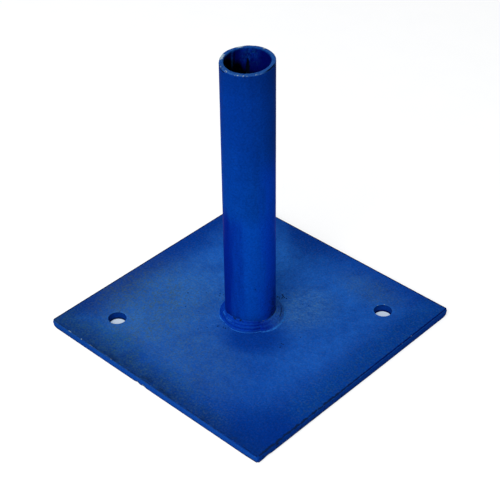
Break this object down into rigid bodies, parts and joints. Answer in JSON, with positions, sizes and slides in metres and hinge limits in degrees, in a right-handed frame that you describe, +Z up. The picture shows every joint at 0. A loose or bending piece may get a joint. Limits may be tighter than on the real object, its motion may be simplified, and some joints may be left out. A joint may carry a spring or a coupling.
{
  "type": "scaffold base plate",
  "caption": "Square steel base plate with an upright tube spigot welded on its middle and anchor holes near opposite corners, to foot a scaffold tube.",
  "frame": {"origin": "middle of the plate's underside", "axes": "+Z up along the spigot, X and Y along the plate's edges, with the anchor holes on the diagonal from -X -Y to +X +Y"},
  "size_m": [0.2, 0.2, 0.213],
  "materials": {
    "plate_paint": "satin blue brushed enamel, dusty on the flat and worn along the sheared edges",
    "spigot_paint": "satin blue enamel over a drawn tube, chipped at the sawn rim",
    "weld_paint": "satin blue enamel over a rippled weld bead"
  },
  "bodies": {
    "root": {"base_plate": "plate_paint", "spigot_tube": "spigot_paint", "fillet_weld": "weld_paint"}
  },
  "joints": []
}
